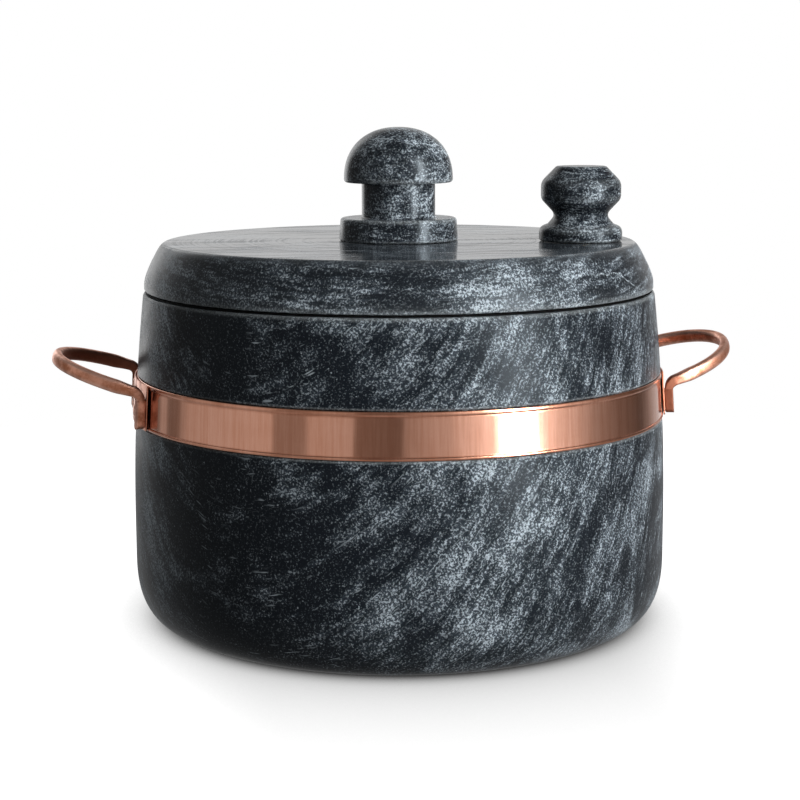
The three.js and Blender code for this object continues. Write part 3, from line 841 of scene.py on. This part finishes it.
def lid_profile():
    corner_height = LID_FOOT + LID_SKIRT + LID_SKIRT_BOW
    lean = (LID_RADIUS - LID_BROW[0]) / (LID_BROW[1] - corner_height)
    brow_corner = (LID_BROW[0] - (LID_TOP - LID_BROW[1]) * lean, LID_TOP)
    return [
        (BOLT_BORE, SPIGOT_FOOT),
        (SPIGOT_RADIUS - SPIGOT_CHAMFER, SPIGOT_FOOT),
        (SPIGOT_RADIUS, SPIGOT_FOOT + SPIGOT_CHAMFER),
        (SPIGOT_RADIUS, LID_FOOT),
        *arc((LID_RADIUS - LID_HEM, LID_FOOT + LID_HEM), LID_HEM, -90, 0, 5),
        *drawn((LID_RADIUS, LID_FOOT + LID_SKIRT), (LID_RADIUS, corner_height), LID_BROW),
        *drawn(LID_BROW, brow_corner, (LID_TOP_RADIUS, LID_TOP))[1:],
        (BOLT_BORE, LID_TOP),
    ]


VEIN_START, VEIN_TURN, VEIN_END = (math.radians(angle) for angle in (-55, -46, -37))
VEIN_FADES = (0.05, 0.03)
VEIN_HEIGHTS = (166.6, 159.5)
VEIN_WIDTH = 0.35
VEIN_CORE = 0.3 * VEIN_WIDTH
VEIN_LEVEL = 0.9
VEIN_WANDER = 5
VEIN_WANDER_PERIOD = 5
VEIN_BREAK_PERIOD = 1.6
VEIN_BREAK_RANGE = (0.42, 0.62)
VEIN_BREAK_LEVELS = (0.1, 0.8)


def lid_vein(stone):
    """A thin pale vein on the lid's side, level at first and then running down."""
    turn = stone.math("ARCTAN2", stone.y, stone.x)
    wander = stone.noise(stone.in_periods(VEIN_WANDER_PERIOD), 4, 0.7)
    breaks = stone.noise(stone.in_periods(VEIN_BREAK_PERIOD), 2, 0.6)
    height = stone.math("MULTIPLY_ADD", wander, VEIN_WANDER * MM, -VEIN_WANDER / 2 * MM)
    fall = stone.step(turn, VEIN_TURN, VEIN_END, *(level * MM for level in VEIN_HEIGHTS))
    away = stone.math("ABSOLUTE", stone.math("SUBTRACT", stone.z, stone.math("ADD", height, fall)))
    line = stone.step(away, VEIN_CORE * MM, VEIN_WIDTH * MM, VEIN_LEVEL, 0)
    begun = stone.step(turn, VEIN_START, VEIN_START + VEIN_FADES[0])
    ended = stone.step(turn, VEIN_END - VEIN_FADES[1], VEIN_END, 1, 0)
    line = stone.math("MULTIPLY", line, stone.math("MULTIPLY", begun, ended))
    return stone.math("MULTIPLY", line, stone.step(breaks, *VEIN_BREAK_RANGE, *VEIN_BREAK_LEVELS))


lid_stone = soapstone(
    "lid_stone", (95, 330, -55), bed=(-0.06, -0.12, 1), streak=(1.7, 13, 13), cloud=(7, 40, 40),
    density=0.01, side_shade=0.05, ior=1.26, top=LID_TOP, vein=lid_vein,
)
lid_mesh = turned("lid", lid_profile(), closed=True)
lid_mesh = drilled(lid_mesh, VENT, VENT_HOLE, SPIGOT_FOOT - DRILL_MARGIN, LID_TOP + DRILL_MARGIN)
placed("lid_disc", lid_mesh, lid_stone, "lid", "lid")


def ring_profile(inner, outer, foot, top, rounding):
    return [
        *arc((outer - rounding, foot + rounding), rounding, -90, 0, 3),
        *arc((outer - rounding, top - rounding), rounding, 0, 90, 3),
        *arc((inner + rounding, top - rounding), rounding, 90, 180, 3),
        *arc((inner + rounding, foot + rounding), rounding, 180, 270, 3),
    ]


seal_rubber = rubber("seal_rubber")
gasket_profile = ring_profile(*GASKET_RADII, RIM_HEIGHT + SEAT_GAP, LID_FOOT - SEAT_GAP, GASKET_ROUND)
placed("gasket", turned("gasket", gasket_profile, closed=True), seal_rubber, "seal", "lid_gasket")


def knob_profile():
    flange_top = KNOB_FOOT + FLANGE_HEIGHT
    cap_foot = flange_top + NECK_HEIGHT
    equator = cap_foot + CAP_HEM
    foot, top = FLANGE_RADII
    chamfer = FLANGE_FOOT_CHAMFER
    return [
        (0, KNOB_FOOT + SOCKET[1]),
        (SOCKET[0], KNOB_FOOT + SOCKET[1]),
        (SOCKET[0], KNOB_FOOT),
        (foot - chamfer, KNOB_FOOT),
        (foot, KNOB_FOOT + chamfer),
        *arc((top - FLANGE_ROUND, flange_top - FLANGE_ROUND), FLANGE_ROUND, 0, 90),
        *arc((NECK_RADIUS + NECK_FILLET, flange_top + NECK_FILLET), NECK_FILLET, 270, 180, 5),
        *arc((NECK_RADIUS + NECK_FILLET, cap_foot - NECK_FILLET), NECK_FILLET, 180, 90, 5),
        *arc((CAP_RADIUS - CAP_HEM, equator), CAP_HEM, -90, CAP_HEM_END),
        *reversed(bulge(0, equator, CAP_RADIUS, CAP_HEIGHT - CAP_HEM, CAP_FULLNESS, 40)),
    ]


knob_stone = soapstone(
    "knob_stone", (-120, 260, 80), bed=(-0.1, -0.2, 1), streak=(1.4, 5, 5), cloud=(9, 16, 16),
    polish=0.6, ior=1.25,
)
placed("knob", turned("knob", knob_profile()), knob_stone, "lid", "lid_knob")


# Regulator weight

def weight_profile():
    foot = LID_TOP + SEAT_GAP
    socket = (NEEDLE_SOCKET[0], foot + WEIGHT_HOLLOW[1])
    foot_side, top_centre = (WEIGHT_FOOT_RADIUS, 0), (0, WEIGHT_TOP[1])
    outside = [
        *rounded(foot_side, WEIGHT_FOOT_CORNER, WEIGHT_SHOULDER, WEIGHT_FOOT_ROUND),
        WEIGHT_SHOULDER,
        *rounded(WEIGHT_SHOULDER, WEIGHT_NECK, WEIGHT_BELLY, WEIGHT_NECK_ROUND),
        *rounded(WEIGHT_NECK, WEIGHT_BELLY, WEIGHT_BROW, WEIGHT_BELLY_ROUND),
        *rounded(WEIGHT_BELLY, WEIGHT_BROW, WEIGHT_TOP, WEIGHT_BROW_ROUND),
        *rounded(WEIGHT_BROW, WEIGHT_TOP, top_centre, WEIGHT_TOP_ROUND, 5),
        top_centre,
    ]
    return [
        (0, socket[1] + NEEDLE_SOCKET[1]),
        (socket[0], socket[1] + NEEDLE_SOCKET[1]),
        socket,
        (WEIGHT_HOLLOW[0], socket[1]),
        (WEIGHT_HOLLOW[0], foot),
        (WEIGHT_FOOT_RADIUS - WEIGHT_FOOT_CHAMFER, foot),
        (WEIGHT_FOOT_RADIUS, foot + WEIGHT_FOOT_CHAMFER),
        *[(radius, foot + height) for radius, height in outside],
    ]


weight_stone = soapstone(
    "weight_stone", (90, -310, 140), bed=(-0.03, -0.06, 1), streak=(1.2, 9, 9), cloud=(6, 18, 18),
    density=-0.05, polish=0.62, ior=1.22,
)
placed("weight", turned("weight", weight_profile(), VENT), weight_stone, "regulator", "regulator_weight")


# Strap in two halves, with rolled hems

def strap_inner(height):
    return seat_radius(height) + SEAT_GAP


def strap_face(height):
    return strap_inner(height) + STRAP_THICKNESS


def saddle_inner(height):
    return strap_face(height) + HEM_PROUD + SEAT_GAP


def saddle_face(height):
    return saddle_inner(height) + SADDLE_THICKNESS


def hem(low, high):
    points = []
    for step in range(HEM_STEPS + 1):
        turn = math.pi * (step / HEM_STEPS - 0.5)
        height = (low + high) / 2 + (high - low) / 2 * math.sin(turn)
        points.append((strap_face(height) + HEM_PROUD * math.cos(turn), height))
    return points


def strap_profile():
    low, high = STRAP_FOOT + BOTTOM_HEM, STRAP_TOP - TOP_HEM
    return [
        (strap_inner(STRAP_FOOT), STRAP_FOOT),
        *hem(STRAP_FOOT, low),
        *evenly(low, high, 10, lambda height: (strap_face(height), height))[1:-1],
        *hem(high, STRAP_TOP),
        (strap_inner(STRAP_TOP), STRAP_TOP),
    ]


def strap_ripple(angle, height):
    """The uneven hand work in the strap: its hems and face wander a little, always inwards."""
    if any(math.isclose(height, end) for end in (STRAP_FOOT, STRAP_TOP)):
        return 0
    spot = Vector((math.cos(angle) * RIPPLE_TURNS, math.sin(angle) * RIPPLE_TURNS, height * RIPPLE_RISE))
    return -RIPPLE_DEPTH * (1 + noise.noise(spot))


strap_metal = strap_copper()
for half, start in (("front", math.pi), ("rear", 0)):
    gap = STRAP_JOINT / 2 / POT_RADIUS
    ends = (start + gap, start + math.pi - gap)
    mesh = swept_arc("strap_" + half, strap_profile(), *ends, STRAP_STEPS, strap_ripple)
    placed("band_" + half, mesh, strap_metal, "pot", "strap_" + half)


def saddle_profile():
    return [
        (saddle_inner(STRAP_FOOT), STRAP_FOOT),
        *evenly(STRAP_FOOT, STRAP_TOP, 6, lambda height: (saddle_face(height), height)),
        (saddle_inner(STRAP_TOP), STRAP_TOP),
    ]


saddle_metal = bar_copper("saddle_copper", (40, 10, 0))
for side, facing in SIDES:
    ends = (facing - SADDLE_HALF_ANGLE, facing + SADDLE_HALF_ANGLE)
    mesh = bevelled(swept_arc("saddle_" + side, saddle_profile(), *ends, SADDLE_STEPS), SADDLE_BEVEL)
    placed("plate_" + side, mesh, saddle_metal, "pot", "saddle_" + side)


# Rivets

seat_lean = math.atan2(seat_radius(STRAP_FOOT) - seat_radius(STRAP_TOP), STRAP_TOP - STRAP_FOOT)


def rivet_profile():
    seat = (saddle_face(STRAP_FOOT) - strap_inner(STRAP_FOOT)) * math.cos(seat_lean) + SEAT_GAP
    radius, rise = RIVET_HEAD
    head = bulge(0, seat, radius, rise, RIVET_FULLNESS, 12)
    return [(0, 0), (RIVET_SHANK, 0), (RIVET_SHANK, seat), (radius, seat), *reversed(head)]


rivet_metal = bar_copper("rivet_copper", (5, 60, 0))
for side, facing in SIDES:
    for place, end in (("front", -1), ("rear", 1)):
        for level, up in (("lower", -1), ("upper", 1)):
            turn = end if side == "right" else -end
            height = (STRAP_FOOT + STRAP_TOP) / 2 + up * RIVET_SPREAD / 2
            mesh = turned("rivet", rivet_profile(), steps=RIVET_STEPS)
            laid = Matrix.Rotation(math.pi / 2 - seat_lean, 4, "Y")
            seat = Matrix.Translation(Vector((strap_inner(height), 0, height)) * MM)
            mesh.transform(Matrix.Rotation(facing + turn * RIVET_ANGLE, 4, "Z") @ seat @ laid)
            name = f"rivet_{side}_{place}_{level}"
            placed("stud_" + name, mesh, rivet_metal, "pot", name)


# Forged handles

def half_span():
    return (saddle_face(STRAP_TOP) + SEAT_GAP + LEG_THICKNESS / 2) * math.sin(LEG_ANGLE)


class Station:
    """One cross-section of a bar: its centre, axes and size, how much it is a leg, and if it's in a bend."""

    def __init__(self, centre, side, rise, depth, width, legness, bent=False):
        self.centre, self.side, self.rise = centre, side, rise
        self.depth, self.width = depth, width
        self.legness, self.bent = legness, bent
        self.fullness = BAR_FULLNESS + (LEG_FULLNESS - BAR_FULLNESS) * legness


def eased_share(share):
    return share * share * (3 - 2 * share)


def leg_stations(end, lean, slope):
    """The bar's stations from the foot of one leg to where the loop starts."""
    swing = end * LEG_ANGLE

    def leg_at(height, thickness):
        reach = saddle_face(height) + SEAT_GAP + LEG_THICKNESS - thickness / 2
        return Vector((reach * math.cos(swing), reach * math.sin(swing), height))

    bend_foot = HANDLE_ROOT + end * math.sin(lean) * half_span() - BEND_RADIUS * math.cos(slope)
    foot = STRAP_FOOT + LEG_LIFT
    side = Vector((-math.sin(swing), math.cos(swing), 0))
    inward = Vector((-math.cos(swing), -math.sin(swing), 0))
    full = LEG_THICKNESS + SEAT_GAP
    stations = []
    for step in range(1, LEG_FOOT_STEPS + 1):
        angle = step / LEG_FOOT_STEPS * math.pi / 2
        grown = math.sin(angle)
        height = foot + LEG_FOOT_ROUND * (1 - math.cos(angle))
        depth = full * (LEG_THIN + (1 - LEG_THIN) * grown)
        stations.append(Station(leg_at(height, depth), side, inward, depth, BAR_WIDTH * grown, 1))
    for step in range(1, LEG_STEPS + 1):
        height = foot + LEG_FOOT_ROUND + (bend_foot - foot - LEG_FOOT_ROUND) * step / LEG_STEPS
        stations.append(Station(leg_at(height, full), side, inward, full, BAR_WIDTH, 1))
    centre = leg_at(bend_foot, LEG_THICKNESS) + Vector((BEND_RADIUS, 0, 0))
    for step in range(1, BEND_STEPS + 1):
        share = step / BEND_STEPS
        turn = (math.pi / 2 - slope) * share
        outward = Vector((-math.cos(turn), 0, math.sin(turn)))
        left = swing * (1 - share)
        across_bar = Vector((-math.sin(left) * math.cos(turn), math.cos(left), 0)).normalized()
        depth = LEG_THICKNESS + (BAR_ROOT_HEIGHT - LEG_THICKNESS) * eased_share(share)
        legness = 1 - (1 - ROOT_LEGNESS) * share ** 3
        spot = centre + outward * BEND_RADIUS
        stations.append(Station(spot, across_bar, outward, depth, BAR_WIDTH, legness, bent=True))
    return stations


def loop_depth(share):
    """The bar's depth at a share of the loop, full but for a taper to both roots."""
    grown = min(1, min(share, 1 - share) / BAR_TAPER_SHARE)
    return BAR_ROOT_HEIGHT + (BAR_HEIGHT - BAR_ROOT_HEIGHT) * eased_share(grown)


def handle_stations(lean):
    slope = math.atan2(HANDLE_TIP - HANDLE_ROOT, half_span())
    front = leg_stations(-1, lean, slope)
    rear = leg_stations(1, lean, slope)
    start, end = front[-1].centre, rear[-1].centre
    root, sideways = (start + end) / 2, (end - start) / 2
    out = Vector((saddle_face(STRAP_TOP) + HANDLE_PROJECTION, 0, HANDLE_TIP)) - root
    normal = out.cross(sideways).normalized()
    loop = []
    for step in range(1, LOOP_STEPS):
        share = step / LOOP_STEPS
        angle = math.pi * (share - 0.5)
        heading = out * -math.sin(angle) + sideways * math.cos(angle)
        centre = root + out * math.cos(angle) + sideways * math.sin(angle)
        legness = ROOT_LEGNESS * max(0, 1 - min(share, 1 - share) / ROOT_REACH)
        side = normal.cross(heading).normalized()
        loop.append(Station(centre, side, normal, loop_depth(share), BAR_WIDTH, legness))
    for station in rear:
        station.side = -station.side
    return front + loop + rear[::-1]


def handle_mesh(name, lean, leg_painted_shade, inner_painted_shade):
    """A bar through all stations, with an 'edge' value on its rubbed edges and a value of patina and painted
    shade.
    """
    vertices, edges, patina_and_shade_values, faces = [], [], [], []
    stations = handle_stations(lean)
    for station in stations:
        # Patina on the loop, and painted shade on the legs, inner faces, bends and undersides.
        general = LOOP_PATINA + (leg_painted_shade - LOOP_PATINA) * station.legness
        for corner in range(BAR_STEPS):
            angle = 2 * math.pi * (corner + 0.5) / BAR_STEPS
            cos, sin = math.cos(angle), math.sin(angle)
            across_share = math.copysign(abs(cos) ** (2 / station.fullness), cos)
            along_share = math.copysign(abs(sin) ** (2 / station.fullness), sin)
            aside = station.side * across_share * station.width / 2
            raised = station.rise * along_share * station.depth / 2
            vertices.append(station.centre + aside + raised)
            edges.append(max(0.0, abs(math.sin(2 * angle)) * 2 - 1))
            shaded = BEND_PAINTED_SHADE * station.legness if station.bent else -UNDERSIDE_PAINTED_SHADE
            patina_and_shade_values.append(max(general, inner_painted_shade * across_share, shaded * along_share))
    for ring in range(len(stations) - 1):
        for corner in range(BAR_STEPS):
            after = (corner + 1) % BAR_STEPS
            here, there = ring * BAR_STEPS, (ring + 1) * BAR_STEPS
            faces.append([here + corner, here + after, there + after, there + corner])
    faces.append(list(range(BAR_STEPS)))
    faces.append(list(range(len(vertices) - BAR_STEPS, len(vertices))))
    mesh = new_mesh(name, vertices, faces)
    for kind, values in (("edge", edges), ("patina_and_shade", patina_and_shade_values)):
        mesh.attributes.new(kind, "FLOAT", "POINT").data.foreach_set("value", values)
    return mesh


for side, facing in SIDES:
    mesh = handle_mesh("handle_" + side, HANDLE_LEANS[side], LEG_PAINTED_SHADE[side], INNER_PAINTED_SHADE[side])
    mesh.transform(Matrix.Rotation(facing, 4, "Z"))
    metal = bar_copper("handle_copper_" + side, (20 + facing * 30, 0, 90))
    placed("grip_" + side, mesh, metal, "pot", "handle_" + side)


# Fittings inside the lid and the weight keep their CAD shapes

fittings = {
    "brass": plain_metal("fitting_brass", "brass", BRASS_LIGHT, BRASS_DEEP),
    "steel": plain_metal("fitting_steel", "steel", STEEL_LIGHT, STEEL_DEEP),
    "silicone": seal_rubber,
}
for slot, nodes in {
    "brass": ("knob_insert", "vent_tube", "vent_nut", "regulator_needle"),
    "steel": ("knob_washer", "knob_bolt"),
    "silicone": ("bolt_seal",),
}.items():
    for node in nodes:
        for material_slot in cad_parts[node].material_slots:
            material_slot.material = fittings[slot]


# Floor

FLOOR_RADIUS = 560
FLOOR_DROP = 0.05
FLOOR_SHADE_REACH = 0.3
FLOOR_LIGHT = (1.2, 1.7)
FLOOR_SIDE = (70, 150)
FLOOR_MIRRORED = 0.4
FLOOR_BOUNCE = 0.05


def make_floor():
    """A pale disc that shows the soft shade round whatever stands on it."""
    mesh = turned("floor", [(0, -FLOOR_DROP), (FLOOR_RADIUS, -FLOOR_DROP)], steps=FLOOR_STEPS)
    floor = bpy.data.objects.new("floor", mesh)
    bpy.context.collection.objects.link(floor)
    material = bpy.data.materials.new("floor")
    material.use_nodes = True
    material.node_tree.nodes.clear()
    nodes = Nodes(material.node_tree)
    shade = nodes.node("AmbientOcclusion", None, FLOOR_SHADE_REACH).outputs["AO"]
    along = nodes.node("SeparateXYZ", nodes.node("TexCoord").outputs["Object"]).outputs[0]
    near, far = FLOOR_SIDE
    light = nodes.step(nodes.math("ABSOLUTE", along), near * MM, far * MM, *FLOOR_LIGHT)
    rays = nodes.node("LightPath").outputs
    mirrored = nodes.blend(rays["Is Glossy Ray"], FLOOR_BOUNCE, FLOOR_MIRRORED)
    seen = nodes.math("MULTIPLY", shade, light)
    glow = nodes.node("Emission", None, nodes.blend(rays["Is Camera Ray"], mirrored, seen))
    nodes.node("OutputMaterial", glow.outputs[0])
    mesh.materials.append(material)


make_floor()


# Studio: bright panels and dark flags round the object, as (angle from the camera, level)

PANELS = [
    (-180, 0.8), (-164, 0.8), (-157, 1.9), (-142, 1.7), (-136, 0.6), (-129, 0.17), (-124.5, 0.17),
    (-123, 0.42), (-118, 0.42), (-116.5, 0.17), (-107, 0.2), (-102, 0.48), (-54.5, 0.58), (-53.5, 0.3),
    (-39.5, 0.3), (-38.5, 0.54), (-19, 0.52), (-18, 0.22), (1, 0.17), (3, 0.38), (20, 0.58), (39, 1.3),
    (42.5, 1.5), (46.5, 36), (56, 36), (60, 1.6), (69, 1.05), (90, 0.38), (106, 0.2), (127, 0.1),
    (155, 0.7), (180, 0.8),
]
PANEL_PEAK = 36
WARM_LEVEL = 0.4
WARM_LOSS = (0, 0.2, 0.35)
UPPER_LEVEL = 0.2
UPPER_EDGE = (0.48, 0.75)
LOWER_LEVEL = 0.35
LOWER_EDGE = (-0.30, -0.15)
DIFFUSE_SHARE = 0.06


def panel_colour(level):
    """A share of the peak level, warmer in the dark panels."""
    warmth = max(0, 1 - level / WARM_LEVEL)
    return [(1 - loss * warmth) * level / PANEL_PEAK for loss in WARM_LOSS] + [1]


def make_world():
    world = bpy.data.worlds.new("studio")
    bpy.context.scene.world = world
    world.use_nodes = True
    world.node_tree.nodes.clear()
    nodes = Nodes(world.node_tree)
    place = nodes.node("TexCoord").outputs["Generated"]
    facing = nodes.node("Mapping", place, None, (0, 0, CAMERA_AZIMUTH), vector_type="POINT").outputs[0]
    x, y, z = nodes.node("SeparateXYZ", facing).outputs
    azimuth = nodes.math("ARCTAN2", x, nodes.math("MULTIPLY", y, -1.0))
    ramp = nodes.node("ValToRGB", nodes.math("MULTIPLY_ADD", azimuth, 1 / (2 * math.pi), 0.5))
    stops = ramp.color_ramp.elements
    for angle, _ in PANELS[1:-1]:
        stops.new((angle + 180) / 360)
    for stop, (_, level) in zip(stops, PANELS):
        stop.color = panel_colour(level)
    upper = nodes.step(z, *UPPER_EDGE)
    lower = nodes.step(z, *LOWER_EDGE, 1.0, 0.0)
    colour = nodes.mix(upper, ramp.outputs[0], [UPPER_LEVEL / PANEL_PEAK] * 3 + [1])
    colour = nodes.mix(lower, colour, [LOWER_LEVEL / PANEL_PEAK] * 3 + [1])
    rays = nodes.node("LightPath").outputs
    strength = nodes.blend(rays["Is Diffuse Ray"], PANEL_PEAK, PANEL_PEAK * DIFFUSE_SHARE)
    strength = nodes.blend(rays["Is Camera Ray"], strength, 1.0)
    colour = nodes.mix(rays["Is Camera Ray"], colour, (1, 1, 1, 1))
    background = nodes.node("Background", colour, strength)
    nodes.node("OutputWorld", background.outputs[0])


make_world()

LIGHT_AIM = Vector((0, 0, 100)) * MM


def add_light(name, azimuth, elevation, distance, size, power):
    """A square soft light (metres, watts) at an angle from the camera, which the metal doesn't mirror."""
    light = bpy.data.lights.new(name, "AREA")
    light.size = size
    light.energy = power
    lamp = bpy.data.objects.new(name, light)
    lamp.visible_glossy = False
    heading = math.radians(azimuth - 90) - CAMERA_AZIMUTH
    rise = math.radians(elevation)
    level = math.cos(rise)
    toward = Vector((math.cos(heading) * level, math.sin(heading) * level, math.sin(rise)))
    lamp.location = LIGHT_AIM + toward * distance
    lamp.rotation_euler = (-toward).to_track_quat("-Z", "Y").to_euler()
    bpy.context.collection.objects.link(lamp)


add_light("key", azimuth=52, elevation=28, distance=1.6, size=0.7, power=8)
add_light("fill", azimuth=-85, elevation=15, distance=1.6, size=0.7, power=4)
add_light("back", azimuth=180, elevation=35, distance=1.8, size=1.4, power=14)

bpy.context.scene.view_settings.view_transform = "Standard"
